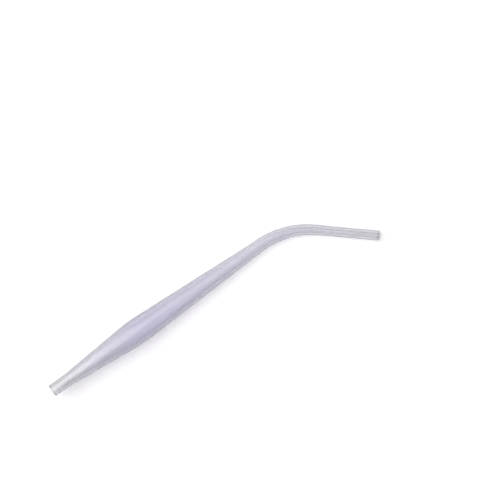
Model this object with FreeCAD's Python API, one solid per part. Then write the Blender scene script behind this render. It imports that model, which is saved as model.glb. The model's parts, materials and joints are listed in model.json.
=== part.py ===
import FreeCAD, Part
import math
import os

# A suction tip for clearing the mouth and throat: one bent, tapering tube, moulded in one piece
# of milky clear plastic, with one passage from end to end and nothing fitted to it.
# Sizes are in millimetres and degrees. The tube is drawn with its handle along +X, its
# connector's end at X = 0 and its bend in the XY plane. It is then turned into the pose in which
# it lies still on a table, with the handle along +X as seen from above.

# Centreline: a straight handle, one bend and a straight tip.
handle_length = 188.0
bend_radius = 64.0
bend_angle = 40.3
tip_length = 47.0

# Connector: a plain round land that a suction hose's cuff is pushed over.
connector_diameter = 9.4
connector_length = 10.0
connector_edge_rounding = 0.4

# Grip: a straight flank rises from the connector to a long, rounded crown.
shoulder_radius = 80.0
flank_angle = 5.1
grip_diameter = 19.7
crown_radius = 120.0

# A straight taper leaves the crown, and an arc eases it into the bend's own taper.
neck_diameter = 9.6
neck_blend_length = 18.0

# The bend narrows evenly, and the first stretch of the tip eases down to its final diameter.
bend_end_diameter = 7.7
tip_blend_length = 25.0
tip_diameter = 7.3

# The tip's rim is rounded further along the tube than across the wall.
tip_rim_length = 1.2
tip_rim_depth = 0.85

# The wall, and the flares of the passage's two mouths.
wall = 1.35
connector_mouth_flare = 0.3
tip_mouth_flare = 0.35

# A rim's rounding and its flare leave some flat between them, whatever the wall is.
rounded_share_of_rim = 0.65
flared_share_of_rim = 0.3

# How finely the bend is drawn, and how finely the lying pose is worked out.
degrees_between_sections = 4.1
bend_spline_degree = 3
degrees_between_samples = 0.5
samples_per_curve = 60
search_rounds = 36
steepest_lying_slope = 0.3

X_AXIS = FreeCAD.Vector(1, 0, 0)
Y_AXIS = FreeCAD.Vector(0, 1, 0)
Z_AXIS = FreeCAD.Vector(0, 0, 1)
ORIGIN = FreeCAD.Vector(0, 0, 0)

bend_length = bend_radius * math.radians(bend_angle)
bend_slope = (neck_diameter - bend_end_diameter) / 2 / bend_length
bend_fall = math.degrees(math.atan(bend_slope))


def point(x, y):
    """A point in the XY plane, where the outlines are drawn."""
    return FreeCAD.Vector(x, y, 0)


def direction(degrees):
    """A direction in the XY plane, measured up from +X."""
    return point(math.cos(math.radians(degrees)), math.sin(math.radians(degrees)))


def line(start, end):
    return Part.LineSegment(start, end).toShape()


def curve(poles):
    """A smooth curve that leaves and reaches its ends towards its inner poles."""
    bezier = Part.BezierCurve()
    bezier.setPoles(poles)
    return bezier.toShape()


def arc(centre, radius, start_degrees, end_degrees):
    """An arc about a centre, through its start, its middle and its end."""
    middle_degrees = (start_degrees + end_degrees) / 2
    start = centre + direction(start_degrees) * radius
    middle = centre + direction(middle_degrees) * radius
    end = centre + direction(end_degrees) * radius
    return Part.Arc(start, middle, end).toShape()


def end_of(edges):
    return edges[-1].Vertexes[-1].Point


def leaving_angle(centre, radius, target):
    """Where on a circle a tangent leaves it for a target to the right of its top."""
    towards = target - centre
    return math.degrees(math.atan2(towards.y, towards.x) + math.acos(radius / towards.Length))


def handle_side(inset, land_start):
    """The handle's side above its axis, from the connector to the bend.

    The outside has no inset, and the passage is inset by the wall."""
    connector_radius = connector_diameter / 2 - inset
    crown_height = grip_diameter / 2 - inset
    neck = point(handle_length, neck_diameter / 2 - inset)

    land = line(point(land_start, connector_radius), point(connector_length, connector_radius))
    shoulder_centre = point(connector_length, connector_radius + shoulder_radius)
    shoulder = arc(shoulder_centre, shoulder_radius, -90, -90 + flank_angle)

    # The flank is as long as the rise that the two arcs leave to it.
    flank_start = end_of([shoulder])
    crown_drop = crown_radius * (1 - math.cos(math.radians(flank_angle)))
    flank_rise = crown_height - crown_drop - flank_start.y
    flank_length = flank_rise / math.sin(math.radians(flank_angle))
    flank_end = flank_start + direction(flank_angle) * flank_length
    flank = line(flank_start, flank_end)

    # The taper leaves the crown for a corner, which the neck's arc rounds off.
    crown_centre = flank_end - direction(90 + flank_angle) * crown_radius
    corner = neck - direction(-bend_fall) * neck_blend_length / 2
    crown_end = leaving_angle(crown_centre, crown_radius, corner)
    taper_fall = 90 - crown_end
    crown = arc(crown_centre, crown_radius, 90 + flank_angle, crown_end)
    taper = line(end_of([crown]), corner - direction(-taper_fall) * neck_blend_length / 2)

    half_turn = math.radians(taper_fall - bend_fall) / 2
    blend_radius = neck_blend_length / 2 / math.tan(half_turn)
    blend_centre = neck + direction(90 - bend_fall) * blend_radius
    blend = arc(blend_centre, blend_radius, 270 - taper_fall, 270 - bend_fall)
    return [land, shoulder, flank, crown, taper, blend]


def tip_side(inset, side_end):
    """The straight tip's side above its axis, from the bend's end at X = 0."""
    start = point(0, bend_end_diameter / 2 - inset)
    settled = point(tip_blend_length, tip_diameter / 2 - inset)
    third = tip_blend_length / 3
    blend = curve([start, start + point(third, -third * bend_slope), settled - X_AXIS * third, settled])
    return [blend, line(settled, point(side_end, settled.y))]


def spun(side):
    """A solid of revolution about the X axis from a side that is drawn from left to right."""
    first = side[0].Vertexes[0].Point
    last = end_of(side)
    left = line(point(first.x, 0), first)
    right = line(last, point(last.x, 0))
    axis = line(point(last.x, 0), point(first.x, 0))
    face = Part.Face(Part.Wire([left] + side + [right, axis]))
    return face.revolve(ORIGIN, X_AXIS, 360)


def place_in_bend(degrees):
    """Where a cross-section at the origin, facing +X, stands after so much of the bend."""
    turned = math.radians(degrees)
    x = handle_length + bend_radius * math.sin(turned)
    y = bend_radius * math.cos(turned) - bend_radius
    return FreeCAD.Placement(point(x, y), FreeCAD.Rotation(Z_AXIS, -degrees))


def radius_in_bend(degrees, inset):
    travelled = bend_radius * math.radians(degrees)
    return neck_diameter / 2 - bend_slope * travelled - inset


def bend_steps(spacing):
    """Angles from the bend's start to its end, about a spacing apart."""
    count = math.ceil(bend_angle / spacing)
    return [bend_angle * step / count for step in range(count + 1)]


def cross_section(radius):
    """A circle about the X axis, in two halves that meet above and below the bend's plane."""
    top = Z_AXIS * radius
    side = Y_AXIS * radius
    halves = [Part.Arc(top, side, top * -1), Part.Arc(top * -1, side * -1, top)]
    return Part.Wire([half.toShape() for half in halves])


def bend_form(inset):
    """The narrowing bend, lofted through round cross-sections."""
    sections = []
    for degrees in bend_steps(degrees_between_sections):
        section = cross_section(radius_in_bend(degrees, inset))
        section.Placement = place_in_bend(degrees)
        sections.append(section)
    return Part.makeLoft(sections, True, False, False, bend_spline_degree)


def joined(handle, bend, tip):
    tip.Placement = place_in_bend(bend_angle)
    return handle.fuse([bend, tip])


def outside():
    """The tube's outer form, as if it were solid, with both ends' outer edges rounded."""
    edge = min(connector_edge_rounding, wall * rounded_share_of_rim)
    connector_edge = arc(point(edge, connector_diameter / 2 - edge), edge, 180, 90)
    rim_depth = min(tip_rim_depth, wall * rounded_share_of_rim)
    rim_start = point(tip_length - tip_rim_length, tip_diameter / 2)
    rim_corner = point(tip_length, tip_diameter / 2)
    rim = curve([rim_start, rim_corner, rim_corner - Y_AXIS * rim_depth])
    handle = spun([connector_edge] + handle_side(0, edge))
    tip = spun(tip_side(0, rim_start.x) + [rim])
    return joined(handle, bend_form(0), tip)


def passage():
    """The passage's form, which flares at its mouths and runs a wall's thickness past them."""
    flare = min(connector_mouth_flare, wall * flared_share_of_rim)
    mouth = point(0, connector_diameter / 2 - wall + flare)
    lead_in = line(mouth - X_AXIS * wall, mouth)
    narrowing = line(mouth, mouth + point(flare, -flare))
    tip_flare = min(tip_mouth_flare, wall * flared_share_of_rim)
    tip_mouth = point(tip_length, tip_diameter / 2 - wall + tip_flare)
    widening = line(tip_mouth - point(tip_flare, tip_flare), tip_mouth)
    lead_out = line(tip_mouth, tip_mouth + X_AXIS * wall)
    handle = spun([lead_in, narrowing] + handle_side(wall, flare))
    tip = spun(tip_side(wall, tip_length - tip_flare) + [widening, lead_out])
    return joined(handle, bend_form(wall), tip)


def samples_of(side, placement):
    """Centre, facing and outside radius of cross-sections along a spun side."""
    samples = []
    facing = placement.Rotation.multVec(X_AXIS)
    for edge in side:
        for spot in edge.discretize(samples_per_curve):
            samples.append((placement.multVec(point(spot.x, 0)), facing, spot.y))
    return samples


def outside_samples():
    """Centre, facing and outside radius of cross-sections along the whole tube."""
    samples = samples_of(handle_side(0, 0), FreeCAD.Placement())
    for degrees in bend_steps(degrees_between_samples):
        placement = place_in_bend(degrees)
        facing = placement.Rotation.multVec(X_AXIS)
        samples.append((placement.Base, facing, radius_in_bend(degrees, 0)))
    return samples + samples_of(tip_side(0, tip_length), place_in_bend(bend_angle))


def valley(function):
    """The slope at which a function with a single valley is lowest."""
    low = -steepest_lying_slope
    high = steepest_lying_slope
    for _ in range(search_rounds):
        third = (high - low) / 3
        if function(low + third) < function(high - third):
            high = high - third
        else:
            low = low + third
    return (low + high) / 2


def down_when_lying(weight_centre):
    """The direction that points straight down when the tube lies still on a table.

    The tube rolls until its centre of mass is as low as it can be. For each way down, the table
    touches the cross-section that reaches furthest that way."""
    samples = outside_samples()

    def way_down(slope_x, slope_y):
        return FreeCAD.Vector(slope_x, slope_y, -math.sqrt(1 - slope_x ** 2 - slope_y ** 2))

    def weight_height(slope_x, slope_y):
        down = way_down(slope_x, slope_y)
        reaches = []
        for centre, facing, radius in samples:
            side_share = math.sqrt(1 - down.dot(facing) ** 2)
            reaches.append(down.dot(centre - weight_centre) + radius * side_share)
        return max(reaches)

    def best_slope_x(slope_y):
        return valley(lambda slope_x: weight_height(slope_x, slope_y))

    slope_y = valley(lambda slope: weight_height(best_slope_x(slope), slope))
    return way_down(best_slope_x(slope_y), slope_y)


def lying_turn(down):
    """The turn that points a direction straight down and keeps the handle above the X axis."""
    up = down * -1
    along = (X_AXIS - up * X_AXIS.dot(up)).normalize()
    across = up.cross(along)
    rows = list(along) + [0] + list(across) + [0] + list(up) + [0, 0, 0, 0, 1]
    return FreeCAD.Placement(FreeCAD.Matrix(*rows))


def suction_tip():
    """The tube in its lying pose, centred in plan, with its lowest point at Z = 0."""
    tube = outside().cut(passage()).Solids[0]
    turn = lying_turn(down_when_lying(tube.CenterOfMass))
    turned = tube.copy()
    turned.Placement = turn
    box = turned.optimalBoundingBox(False, False)
    shift = FreeCAD.Vector(-box.Center.x, -box.Center.y, -box.ZMin)
    placement = FreeCAD.Placement(shift, FreeCAD.Rotation()).multiply(turn)
    turned.Placement = placement
    return turned, placement


def show(name, vector):
    print(f"{name}: {vector.x:.3f} {vector.y:.3f} {vector.z:.3f}")


tube, placement = suction_tip()
os.makedirs("parts", exist_ok=True)
tube.exportStep("parts/suction_tip.step")

developed_length = handle_length + bend_length + tip_length
print(f"length along the centreline {developed_length:.1f}, volume {tube.Volume:.1f} cubic mm")
print("one valid solid:", tube.isValid())
show("connector end centre", placement.multVec(ORIGIN))
show("connector land middle", placement.multVec(point(connector_length / 2, 0)))
show("connector's outward direction", placement.Rotation.multVec(X_AXIS * -1))
show("bend start centre", placement.multVec(place_in_bend(0).Base))
show("bend end centre", placement.multVec(place_in_bend(bend_angle).Base))
show("tip end centre", placement.multVec(place_in_bend(bend_angle).multVec(X_AXIS * tip_length)))
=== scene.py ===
# %% [markdown]
# # A suction tip of milky clear plastic
#
# The object is one long, bent, hollow tube that clears the mouth and throat. A hose is pushed over
# its plain round end, the swollen middle is held in the hand, and the thin bent end is the tip.
# It is moulded in one piece, so this scene has one piece too, and all of its looks come from its
# form, its wall and the milky plastic.
#
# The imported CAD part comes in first. It is the frame: every size and place below has to agree
# with it.

# %% Load the frame
import json
import math

import bpy
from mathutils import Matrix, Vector


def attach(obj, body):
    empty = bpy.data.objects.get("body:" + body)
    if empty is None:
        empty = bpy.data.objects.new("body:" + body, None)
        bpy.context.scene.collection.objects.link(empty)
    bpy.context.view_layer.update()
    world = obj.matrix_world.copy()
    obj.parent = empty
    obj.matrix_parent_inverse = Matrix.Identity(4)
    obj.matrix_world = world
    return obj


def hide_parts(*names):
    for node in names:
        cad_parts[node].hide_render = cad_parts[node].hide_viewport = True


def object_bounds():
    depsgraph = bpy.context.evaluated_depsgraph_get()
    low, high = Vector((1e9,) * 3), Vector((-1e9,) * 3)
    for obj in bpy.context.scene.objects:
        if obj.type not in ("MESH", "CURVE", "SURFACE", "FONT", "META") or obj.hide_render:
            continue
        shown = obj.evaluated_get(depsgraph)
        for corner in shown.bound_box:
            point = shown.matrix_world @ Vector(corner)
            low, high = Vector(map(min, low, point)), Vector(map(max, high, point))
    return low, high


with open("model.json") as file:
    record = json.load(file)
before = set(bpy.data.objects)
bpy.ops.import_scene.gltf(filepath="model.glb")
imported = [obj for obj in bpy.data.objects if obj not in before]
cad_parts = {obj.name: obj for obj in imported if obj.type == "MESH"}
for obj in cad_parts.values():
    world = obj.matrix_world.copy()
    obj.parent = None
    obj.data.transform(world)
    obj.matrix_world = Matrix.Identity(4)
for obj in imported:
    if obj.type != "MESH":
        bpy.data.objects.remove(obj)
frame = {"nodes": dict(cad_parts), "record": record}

cad_box = [list(corner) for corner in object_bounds()]
frame_tube = frame["nodes"]["suction_tip"]
print("frame box, in mm:", [[round(value * 1000, 2) for value in corner] for corner in cad_box])

# %% [markdown]
# ## Sizes
#
# The frame's own mesh is made for measuring, with about twenty flat strips round the tube. Light
# slides along a shiny tube in long bands, and flat strips would break them up. So the tube is
# drawn again here with many more strips, from the same sizes in millimetres. Each size has one
# name and is written once, as on a drawing.

# %% Name the sizes
MM = 0.001

handle_length = 188.0
bend_radius = 64.0
bend_angle = math.radians(40.3)
tip_length = 47.0

connector_radius = 4.7
connector_length = 10.0
connector_edge_rounding = 0.4
shoulder_radius = 80.0
flank_angle = math.radians(5.1)
grip_radius = 9.85
crown_radius = 120.0

neck_radius = 4.8
neck_blend_length = 18.0
bend_end_radius = 3.85
tip_blend_length = 25.0
tip_radius = 3.65
tip_rim_length = 1.2
tip_rim_depth = 0.85

wall = 1.35
connector_mouth_flare = 0.3
tip_mouth_flare = 0.35

bend_length = bend_radius * bend_angle
tube_length = handle_length + bend_length + tip_length
bend_slope = (neck_radius - bend_end_radius) / bend_length
print(f"the tube is {tube_length:.1f} mm long along its centreline")

# %% [markdown]
# ## The outside of the tube
#
# Seen from the side, the tube is a chain of simple lines, and each one leaves the last without a
# corner: a level land for the hose, a hollow shoulder, a straight flank, the round crown of the
# grip, a straight taper, a short hollow arc at the neck, an even taper round the bend, and the
# tip. It could be drawn freehand as one spline, but then nobody could say how thick the tube is
# at some place. So a function gives the radius at any distance from the hose's end.

# %% Find where the lines of the outline meet
bend_fall = math.atan(bend_slope)

flank_start = (connector_length + shoulder_radius * math.sin(flank_angle),
               connector_radius + shoulder_radius * (1 - math.cos(flank_angle)))
crown_drop = crown_radius * (1 - math.cos(flank_angle))
flank_rise = grip_radius - crown_drop - flank_start[1]
flank_end = flank_start[0] + flank_rise / math.tan(flank_angle)
crown_top = flank_end + crown_radius * math.sin(flank_angle)

half_blend = neck_blend_length / 2
corner = (handle_length - half_blend * math.cos(bend_fall),
          neck_radius + half_blend * math.sin(bend_fall))
crown_centre = (crown_top, grip_radius - crown_radius)
to_corner = (corner[0] - crown_centre[0], corner[1] - crown_centre[1])
taper_fall = (math.pi / 2 - math.atan2(to_corner[1], to_corner[0])
              - math.acos(crown_radius / math.hypot(*to_corner)))
taper_start = crown_top + crown_radius * math.sin(taper_fall)
taper_end = corner[0] - half_blend * math.cos(taper_fall)
neck_arc_radius = half_blend / math.tan((taper_fall - bend_fall) / 2)
print(f"flank to {flank_end:.1f}, crown's top at {crown_top:.1f}, "
      f"taper {taper_start:.1f} to {taper_end:.1f} mm")

# %% Give the outside radius at any distance from the hose's end


def tip_blend_radius(beyond_bend):
    """The first stretch of the tip eases from the bend's taper to the tip's final radius."""
    share = beyond_bend / tip_blend_length
    third = tip_blend_length / 3
    poles = [bend_end_radius, bend_end_radius - third * bend_slope, tip_radius, tip_radius]
    rest = 1 - share
    return (poles[0] * rest ** 3 + 3 * poles[1] * rest ** 2 * share
            + 3 * poles[2] * rest * share ** 2 + poles[3] * share ** 3)


def outside_radius(along):
    if along < connector_length:
        return connector_radius
    if along < flank_start[0]:
        return (connector_radius + shoulder_radius
                - math.sqrt(shoulder_radius ** 2 - (along - connector_length) ** 2))
    if along < flank_end:
        return flank_start[1] + (along - flank_start[0]) * math.tan(flank_angle)
    if along < taper_start:
        return crown_centre[1] + math.sqrt(crown_radius ** 2 - (along - crown_top) ** 2)
    if along < taper_end:
        return corner[1] + (corner[0] - along) * math.tan(taper_fall)
    if along < handle_length:
        centre_x = handle_length + neck_arc_radius * math.sin(bend_fall)
        centre_y = neck_radius + neck_arc_radius * math.cos(bend_fall)
        return centre_y - math.sqrt(neck_arc_radius ** 2 - (along - centre_x) ** 2)
    if along < handle_length + bend_length:
        return neck_radius - (along - handle_length) * bend_slope
    beyond_bend = along - handle_length - bend_length
    if beyond_bend < tip_blend_length:
        return tip_blend_radius(beyond_bend)
    return tip_radius


for place in (5, 40, crown_top, 130, handle_length, 210, 270):
    print(f"at {place:5.1f} mm the tube is {2 * outside_radius(place):5.2f} mm across")

# %% [markdown]
# ## The wall's section
#
# The tube is hollow, and its two ends are open. Where the wall is cut, its section is a long thin
# closed loop: out along the outside, round the tip's rim, back along the passage, and round the
# hose's rim. The Solidify modifier could thicken a skin, but it would leave square rims. Here the
# loop carries the true roundings, because the rims catch the light.

# %% Draw the closed loop of the wall's section
ring_spacing = 1.0
points_per_rounding = 7


def evenly(start, end, spacing):
    """Places from start to end, about a spacing apart, without the end."""
    count = max(1, round(abs(end - start) / spacing))
    return [start + (end - start) * step / count for step in range(count)]


def rounding(centre, reach, start_degrees, end_degrees):
    """A quarter of an ellipse about a centre, without its last point."""
    quarter = []
    for step in range(points_per_rounding):
        share = step / points_per_rounding
        turned = math.radians(start_degrees + (end_degrees - start_degrees) * share)
        quarter.append((centre[0] + reach[0] * math.cos(turned),
                        centre[1] + reach[1] * math.sin(turned)))
    return quarter


def curved_rim(start, corner, end):
    """A rim that leaves its start and reaches its end towards a common corner."""
    poles = (start, corner, end)
    rim = []
    for step in range(2 * points_per_rounding):
        share = step / (2 * points_per_rounding)
        rest = 1 - share
        weights = (rest * rest, 2 * rest * share, share * share)
        rim.append(tuple(sum(weight * pole[axis] for weight, pole in zip(weights, poles))
                         for axis in (0, 1)))
    return rim


bore_at_connector = connector_radius - wall
bore_at_tip = tip_radius - wall

outside_stretch = evenly(connector_edge_rounding, tube_length - tip_rim_length, ring_spacing)
passage_stretch = evenly(tube_length - tip_mouth_flare, connector_mouth_flare, ring_spacing)

section = rounding((connector_edge_rounding, connector_radius - connector_edge_rounding),
                   (connector_edge_rounding, connector_edge_rounding), 180, 90)
section += [(along, outside_radius(along)) for along in outside_stretch]
section += curved_rim((tube_length - tip_rim_length, tip_radius), (tube_length, tip_radius),
                      (tube_length, tip_radius - tip_rim_depth))
section += rounding((tube_length - tip_mouth_flare, bore_at_tip + tip_mouth_flare),
                    (tip_mouth_flare, tip_mouth_flare), 0, -90)
section += [(along, outside_radius(along) - wall) for along in passage_stretch]
section += rounding((connector_mouth_flare, bore_at_connector + connector_mouth_flare),
                    (connector_mouth_flare, connector_mouth_flare), -90, -180)
print(f"the wall's section has {len(section)} points")

# %% [markdown]
# ## Where the tube lies
#
# A bent tube rolls until it rests on its grip and its tip. The CAD worked that pose out, so it is
# read back from the frame and not set by eye. The hose mount gives the handle's axis, and the far
# end of the frame's mesh gives the tip. Which faces belong to that end depends on where the tip
# points, so it is read three times, and each time the direction found before picks the faces
# more strictly. Two directions and a starting point are then enough to place any point of the
# drawing.

# %% Read the pose from the frame
hose_mount = frame["record"]["mounts"][0]
handle_direction = -Vector(hose_mount["axis"]).normalized()
land_middle = (connector_edge_rounding + connector_length) / 2 * MM
connector_end = Vector(hose_mount["pos_m"]) - handle_direction * land_middle

tip_end_ahead = (handle_length + bend_radius * math.sin(bend_angle)
                 + tip_length * math.cos(bend_angle)) * MM
tip_end_aside = (bend_radius * (1 - math.cos(bend_angle)) + tip_length * math.sin(bend_angle)) * MM

outer_side = Vector((0, 0, 1)).cross(handle_direction).normalized()
for closeness in (0.9995, 0.9999, 0.99999):
    tip_direction = handle_direction * math.cos(bend_angle) - outer_side * math.sin(bend_angle)
    end_faces = [face for face in frame_tube.data.polygons
                 if face.normal.dot(tip_direction) > closeness]
    end_area = sum(face.area for face in end_faces)
    tip_end = sum((face.center * face.area for face in end_faces), Vector()) / end_area
    aside = (connector_end + handle_direction * tip_end_ahead - tip_end) / tip_end_aside
    outer_side = (aside - handle_direction * aside.dot(handle_direction)).normalized()
    print(f"{len(end_faces)} faces end the tip, "
          f"and its offset is {aside.length:.4f} of the drawn one")
upward = handle_direction.cross(outer_side)
print("connector's end, in mm:", [round(value / MM, 2) for value in connector_end])
print("tip's end, in mm:      ", [round(value / MM, 2) for value in tip_end])

# %% Give the centreline's place and facing at any distance


def centreline(along):
    """The centre and the outward side of a cross-section, in the frame's metres."""
    turned = min(max(along - handle_length, 0) / bend_radius, bend_angle)
    facing = handle_direction * math.cos(turned) - outer_side * math.sin(turned)
    side = outer_side * math.cos(turned) + handle_direction * math.sin(turned)
    if along < handle_length:
        return connector_end + handle_direction * along * MM, side
    ahead = handle_length + bend_radius * math.sin(turned)
    aside = bend_radius * (1 - math.cos(turned))
    centre = connector_end + (handle_direction * ahead - outer_side * aside) * MM
    beyond_bend = max(along - handle_length - bend_length, 0)
    return centre + facing * beyond_bend * MM, side


# %% [markdown]
# ## Sweep the section round the centreline
#
# Each point of the section becomes a ring of points, and neighbouring rings are joined by
# four-sided faces. The last ring joins the first, so the mesh closes on itself like the wall of
# a real moulding, and light that enters the plastic finds its way out again. A curve with a
# bevel would make a similar skin, but it has no inside wall.

# %% Build the tube's mesh
points_round = 96

vertices = []
for along, radius in section:
    centre, side = centreline(along)
    for step in range(points_round):
        turned = 2 * math.pi * step / points_round
        outward = side * math.cos(turned) + upward * math.sin(turned)
        vertices.append(centre + outward * radius * MM)

faces = []
for ring in range(len(section)):
    next_ring = (ring + 1) % len(section)
    for step in range(points_round):
        next_step = (step + 1) % points_round
        faces.append((ring * points_round + step, ring * points_round + next_step,
                      next_ring * points_round + next_step, next_ring * points_round + step))

tube_mesh = bpy.data.meshes.new("clouded_tube")
tube_mesh.from_pydata(vertices, [], faces)
tube_mesh.polygons.foreach_set("use_smooth", [True] * len(faces))
tube_mesh.update()
tube = bpy.data.objects.new("clouded_tube", tube_mesh)
bpy.context.scene.collection.objects.link(tube)

print(f"{len(vertices)} points, {len(faces)} four-sided faces")

# %% [markdown]
# A refracting plastic goes wrong where its faces look the wrong way, because the renderer then
# takes its inside for air. One face of the outside is enough to tell, as all faces were joined in
# the same order. After that a sample of the points is measured against the frame's surface, to
# show that the drawing and the frame agree.

# %% Check that the faces look outwards, and compare with the frame
tested_ring = 20
tested_face = tube_mesh.polygons[(points_per_rounding + tested_ring) * points_round]
tested_place = connector_edge_rounding + (tested_ring + 0.5) * ring_spacing
centre_there = centreline(tested_place)[0]
if (tested_face.center - centre_there).dot(tested_face.normal) < 0:
    tube_mesh.flip_normals()
    print("the faces looked inwards and were turned round")

sample_every = 41
worst = 0
for vertex in list(tube_mesh.vertices)[::sample_every]:
    _, nearest, _, _ = frame_tube.closest_point_on_mesh(vertex.co)
    worst = max(worst, (nearest - vertex.co).length)
print(f"the drawn tube stays within {worst / MM:.3f} mm of the frame's surface")

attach(tube, "root")
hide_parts("suction_tip")

# %% [markdown]
# ## Milky plastic
#
# The real tube is moulded from a clear, slightly milky plastic with a faint lavender tint. Light
# from the white table comes up through it, so it looks pale, and its edges look dark, because
# there the eye looks along the wall and not across it. An alpha value would thin the whole tube
# evenly and leave no dark edges. So the wall is a refracting solid with its real thickness: its
# skin tints the light a little, and its inside swallows some of it, the more the longer the way.

# %% Helpers for placing and joining nodes


def new_material(name):
    material = bpy.data.materials.new(name)
    material.use_nodes = True
    material.node_tree.nodes.clear()
    return material, material.node_tree


def add_node(tree, kind, **settings):
    node = tree.nodes.new(kind)
    for name, value in settings.items():
        setattr(node, name, value)
    return node


# %% Make the plastic
plastic, tree = new_material("milky_plastic")
output = add_node(tree, "ShaderNodeOutputMaterial")
shader = add_node(tree, "ShaderNodeBsdfPrincipled")
tree.links.new(shader.outputs["BSDF"], output.inputs["Surface"])

shader.inputs["IOR"].default_value = 1.5
shader.inputs["Transmission Weight"].default_value = 1.0

inside_colour = (0.6, 0.6, 0.65)
inside_density = 250.0
inside = add_node(tree, "ShaderNodeVolumeAbsorption")
inside.inputs["Color"].default_value = (*inside_colour, 1)
inside.inputs["Density"].default_value = inside_density
tree.links.new(inside.outputs["Volume"], output.inputs["Volume"])

swallowed_per_metre = inside_density * (1 - inside_colour[0])
across_both_walls = 2 * wall
along_an_edge = 10.0
for way in (across_both_walls, along_an_edge):
    passed = math.exp(-swallowed_per_metre * way * MM)
    print(f"{way:4.1f} mm of the plastic lets {passed:.2f} of the light by")

# %% [markdown]
# The tint isn't even. The swollen grip looks the most violet, and towards both ends the plastic
# turns grey. A colour ramp along the tube's length gives that, and a soft streaky noise on top
# stands for the milkiness, which the flow in the mould draws out along the tube. A view through
# the tube passes the skin twice, so the colours here are lighter than the tube looks.

# %% Tint the plastic along its length
places = add_node(tree, "ShaderNodeTexCoord")
split = add_node(tree, "ShaderNodeSeparateXYZ")
tree.links.new(places.outputs["Object"], split.inputs["Vector"])

along_share = add_node(tree, "ShaderNodeMapRange")
along_share.inputs["From Min"].default_value = cad_box[0][0]
along_share.inputs["From Max"].default_value = cad_box[1][0]
tree.links.new(split.outputs["X"], along_share.inputs["Value"])

tint = add_node(tree, "ShaderNodeValToRGB")
tint_stops = [
    (0.00, (0.91, 0.91, 0.91)),
    (0.11, (0.94, 0.94, 0.96)),
    (0.29, (0.94, 0.93, 1.00)),
    (0.52, (0.96, 0.95, 1.00)),
    (0.72, (0.98, 0.97, 1.00)),
    (0.90, (0.99, 0.99, 1.00)),
    (1.00, (0.99, 0.99, 0.99)),
]
ramp_stops = tint.color_ramp.elements
ramp_stops[0].position, ramp_stops[1].position = tint_stops[0][0], tint_stops[-1][0]
for place, _ in tint_stops[1:-1]:
    ramp_stops.new(place)
for ramp_stop, (_, colour) in zip(ramp_stops, tint_stops):
    ramp_stop.color = (*colour, 1)
tree.links.new(along_share.outputs["Result"], tint.inputs["Fac"])
print(f"the tint changes along the tube through {len(ramp_stops)} colours")

# %% Cloud it with streaks
clouds_per_metre = (35, 160, 160)
stretch = add_node(tree, "ShaderNodeMapping")
stretch.inputs["Scale"].default_value = clouds_per_metre
tree.links.new(places.outputs["Object"], stretch.inputs["Vector"])

clouds = add_node(tree, "ShaderNodeTexNoise")
clouds.inputs["Scale"].default_value = 1.0
clouds.inputs["Detail"].default_value = 3.0
tree.links.new(stretch.outputs["Vector"], clouds.inputs["Vector"])

cloud_strength = add_node(tree, "ShaderNodeMapRange")
cloud_strength.inputs["To Min"].default_value = 0.96
cloud_strength.inputs["To Max"].default_value = 1.02
tree.links.new(clouds.outputs["Fac"], cloud_strength.inputs["Value"])

clouded = add_node(tree, "ShaderNodeVectorMath", operation="SCALE")
tree.links.new(tint.outputs["Color"], clouded.inputs[0])
tree.links.new(cloud_strength.outputs["Result"], clouded.inputs["Scale"])
print("a streak is about", [round(1 / count / MM) for count in clouds_per_metre], "mm in size")

# %% [markdown]
# Both open ends show a thin dark ring, because light reaches the eye there along the wall. Here
# that ring is painted shade: the plastic's colour is darkened within a few millimetres of each
# end.
# The painted ring at the tip is wider, as its rim is rounded further back. The painted rings are
# set by the distance to each end along the tube's own direction there, so they stay square to the
# tube.

# %% Paint shade on the two rims


def painted_rim_shade(end, facing, depth, shade_at_end):
    """One along the tube, falling to a painted shade within a depth of an open end."""
    ahead = add_node(tree, "ShaderNodeVectorMath", operation="DOT_PRODUCT")
    ahead.inputs[1].default_value = facing
    tree.links.new(places.outputs["Object"], ahead.inputs[0])
    shade = add_node(tree, "ShaderNodeMapRange", interpolation_type="SMOOTHSTEP")
    shade.inputs["From Min"].default_value = end.dot(facing) - depth * MM
    shade.inputs["From Max"].default_value = end.dot(facing)
    shade.inputs["To Min"].default_value = 1.0
    shade.inputs["To Max"].default_value = shade_at_end
    tree.links.new(ahead.outputs["Value"], shade.inputs["Value"])
    return shade.outputs["Result"]


tip_ring_depth, tip_ring_shade = 2.4, 0.75
connector_ring_depth, connector_ring_shade = 1.2, 0.72
tip_shade = painted_rim_shade(tip_end, tip_direction, tip_ring_depth, tip_ring_shade)
connector_shade = painted_rim_shade(connector_end, -handle_direction,
                            connector_ring_depth, connector_ring_shade)
# Both painted rim shades together darken the plastic's colour near its two ends.
rims = add_node(tree, "ShaderNodeMath", operation="MULTIPLY")
tree.links.new(tip_shade, rims.inputs[0])
tree.links.new(connector_shade, rims.inputs[1])

# The tinted, clouded colour with the painted shade of the rings laid on it.
painted_rim_shaded_colour = add_node(tree, "ShaderNodeVectorMath", operation="SCALE")
tree.links.new(clouded.outputs["Vector"], painted_rim_shaded_colour.inputs[0])
tree.links.new(rims.outputs["Value"], painted_rim_shaded_colour.inputs["Scale"])
tree.links.new(painted_rim_shaded_colour.outputs["Vector"], shader.inputs["Base Color"])
print(f"the dark rings are {connector_ring_depth} mm deep at the hose's end "
      f"and {tip_ring_depth} mm at the tip")

# %% [markdown]
# The surface isn't polished: it blurs what shows through it and draws the lamp as a broad soft
# band. The roughness follows the same streaks, but only a little, because patches of clearly
# different gloss would look like frost. A very faint waviness keeps the bands from being perfect.

# %% Let the gloss and the surface vary a little
gloss = add_node(tree, "ShaderNodeMapRange")
gloss.inputs["To Min"].default_value = 0.2
gloss.inputs["To Max"].default_value = 0.25
tree.links.new(clouds.outputs["Fac"], gloss.inputs["Value"])
tree.links.new(gloss.outputs["Result"], shader.inputs["Roughness"])

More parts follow.
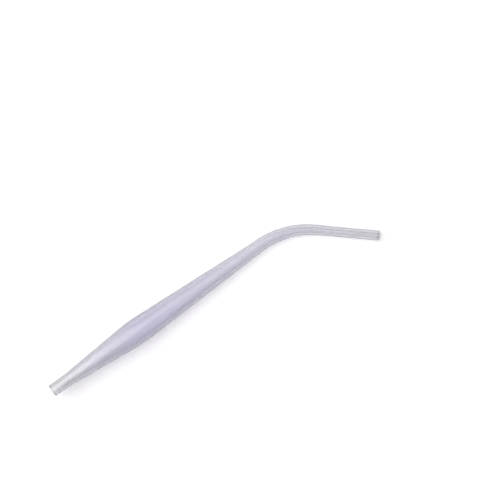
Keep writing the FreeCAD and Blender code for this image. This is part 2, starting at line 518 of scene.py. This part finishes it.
ripples_per_metre = 260.0
ripple = add_node(tree, "ShaderNodeTexNoise")
ripple.inputs["Scale"].default_value = ripples_per_metre
ripple.inputs["Detail"].default_value = 2.0
tree.links.new(places.outputs["Object"], ripple.inputs["Vector"])
bump = add_node(tree, "ShaderNodeBump")
bump.inputs["Strength"].default_value = 0.05
bump.inputs["Distance"].default_value = 0.1 * MM
tree.links.new(ripple.outputs["Fac"], bump.inputs["Height"])
tree.links.new(bump.outputs["Normal"], shader.inputs["Normal"])

tube_mesh.materials.append(plastic)
print("the plastic has", len(tree.nodes), "nodes")

# %% [markdown]
# ## Floor, light and camera
#
# The tube lies on a white table that fades into a white background. The floor is a pale matt
# surface that takes a real shadow. Where it is seen, straight or through the plastic, it gets a
# little light of its own, so that it reaches pure white. That light is left out for everything
# that it would light up, so it doesn't stand in for a lamp. It is slightly violet: where the warm
# lamp reaches the table the sum is white, and in the tube's shadow a cool tone is left.

# %% Tell a look from light that falls on things


def looked_at(tree):
    """One for a straight look, a reflection or a look through something, and else nothing."""
    path = add_node(tree, "ShaderNodeLightPath")
    seen = add_node(tree, "ShaderNodeMath", operation="MAXIMUM")
    seen_or_through = add_node(tree, "ShaderNodeMath", operation="MAXIMUM")
    tree.links.new(path.outputs["Is Camera Ray"], seen.inputs[0])
    tree.links.new(path.outputs["Is Glossy Ray"], seen.inputs[1])
    tree.links.new(seen.outputs["Value"], seen_or_through.inputs[0])
    tree.links.new(path.outputs["Is Transmission Ray"], seen_or_through.inputs[1])
    return seen_or_through.outputs["Value"]


# %% Lay the floor
floor_size = 6.0
floor_mesh = bpy.data.meshes.new("table_top")
half = floor_size / 2
floor_mesh.from_pydata([(-half, -half, 0), (half, -half, 0), (half, half, 0), (-half, half, 0)],
                       [], [(0, 1, 2, 3)])
floor = bpy.data.objects.new("table_top", floor_mesh)
bpy.context.scene.collection.objects.link(floor)

white, tree = new_material("white_table")
output = add_node(tree, "ShaderNodeOutputMaterial")
matt = add_node(tree, "ShaderNodeBsdfDiffuse")
matt.inputs["Color"].default_value = (0.8, 0.8, 0.8, 1)
own_light = add_node(tree, "ShaderNodeEmission")
own_light.inputs["Color"].default_value = (0.93, 0.92, 1.0, 1)
both = add_node(tree, "ShaderNodeAddShader")
own_light_strength = 0.45
lift = add_node(tree, "ShaderNodeMath", operation="MULTIPLY")
lift.inputs[1].default_value = own_light_strength
tree.links.new(looked_at(tree), lift.inputs[0])
tree.links.new(lift.outputs["Value"], own_light.inputs["Strength"])
tree.links.new(matt.outputs["BSDF"], both.inputs[0])
tree.links.new(own_light.outputs["Emission"], both.inputs[1])
tree.links.new(both.outputs["Shader"], output.inputs["Surface"])
floor_mesh.materials.append(white)
print(f"the table top is {floor_size:.0f} m wide, so its edge is never seen")

# %% [markdown]
# Behind the table there is nothing but white. A look past the table meets that white, and so
# does a reflection or a look through the plastic. For the light that falls on things the room is
# nearly dark, so that the lamp alone decides where the shadow lies.

# %% Give the room its white backdrop
world = bpy.data.worlds.new("white_room")
bpy.context.scene.world = world
world.use_nodes = True
tree = world.node_tree
tree.nodes.clear()
output = add_node(tree, "ShaderNodeOutputWorld")
room = add_node(tree, "ShaderNodeBackground")
backdrop = add_node(tree, "ShaderNodeBackground")
choice = add_node(tree, "ShaderNodeMixShader")
room_strength = 0.02
backdrop_strength = 1.0
for background, strength in ((room, room_strength), (backdrop, backdrop_strength)):
    background.inputs["Color"].default_value = (1, 1, 1, 1)
    background.inputs["Strength"].default_value = strength
tree.links.new(looked_at(tree), choice.inputs["Fac"])
tree.links.new(room.outputs["Background"], choice.inputs[1])
tree.links.new(backdrop.outputs["Background"], choice.inputs[2])
tree.links.new(choice.outputs["Shader"], output.inputs["Surface"])
print(f"the room is seen at a strength of {backdrop_strength}, "
      f"and lights the tube at one of {room_strength}")

# %% [markdown]
# One very large soft lamp hangs above, to the left of the picture, as a wide softbox would. A sun
# lamp with a wide angle does this evenly over the whole table. Its size matters more than its
# strength: it draws the broad light band along the tube's upper side and leaves a short shadow
# that soon fades. Its light is a little warm, so the lit side of the tube looks greyer than the
# far side, which only sees the cool shadow.

# %% Hang the large soft lamp
picture_turn = math.radians(-35.07)
picture_right = Vector((math.cos(picture_turn), math.sin(picture_turn), 0))
picture_up = Vector((-math.sin(picture_turn), math.cos(picture_turn), 0))

lamp_from = math.radians(162)
lamp_tilt = math.radians(28)
towards_lamp = ((picture_right * math.cos(lamp_from) + picture_up * math.sin(lamp_from))
                * math.sin(lamp_tilt) + Vector((0, 0, 1)) * math.cos(lamp_tilt))
softbox_data = bpy.data.lights.new("softbox", "SUN")
softbox_data.color = (1.0, 0.98, 0.95)
softbox_data.energy = 2.85
softbox_data.angle = math.radians(62)
softbox = bpy.data.objects.new("softbox", softbox_data)
softbox.rotation_euler = towards_lamp.to_track_quat("Z", "Y").to_euler()
bpy.context.scene.collection.objects.link(softbox)
print(f"the lamp hangs {math.degrees(lamp_tilt):.0f} degrees off the upright "
      f"and spans {math.degrees(softbox_data.angle):.0f} degrees")

# %% [markdown]
# The tube is seen from straight above, as it lies, with the handle rising from the lower left. A
# long lens far away shows it almost without perspective. The camera's height isn't chosen by eye:
# it follows from the lens and from the width of table that the picture takes in.

# %% Set up the camera straight above
view_centre = Vector((0.0462, 0.0203, 0.008))
camera_data = bpy.data.cameras.new("camera_above")
camera_data.lens = 85
camera_data.sensor_width = 36
picture_width = 0.37265
camera_height = picture_width * camera_data.lens / camera_data.sensor_width
camera = bpy.data.objects.new("camera_above", camera_data)
camera.rotation_euler = (0, 0, picture_turn)
camera.location = view_centre + Vector((0, 0, camera_height))
bpy.context.scene.collection.objects.link(camera)
bpy.context.scene.camera = camera
bpy.context.scene.view_settings.view_transform = "Standard"
print(f"the camera is {camera_height / MM:.0f} mm above the tube")
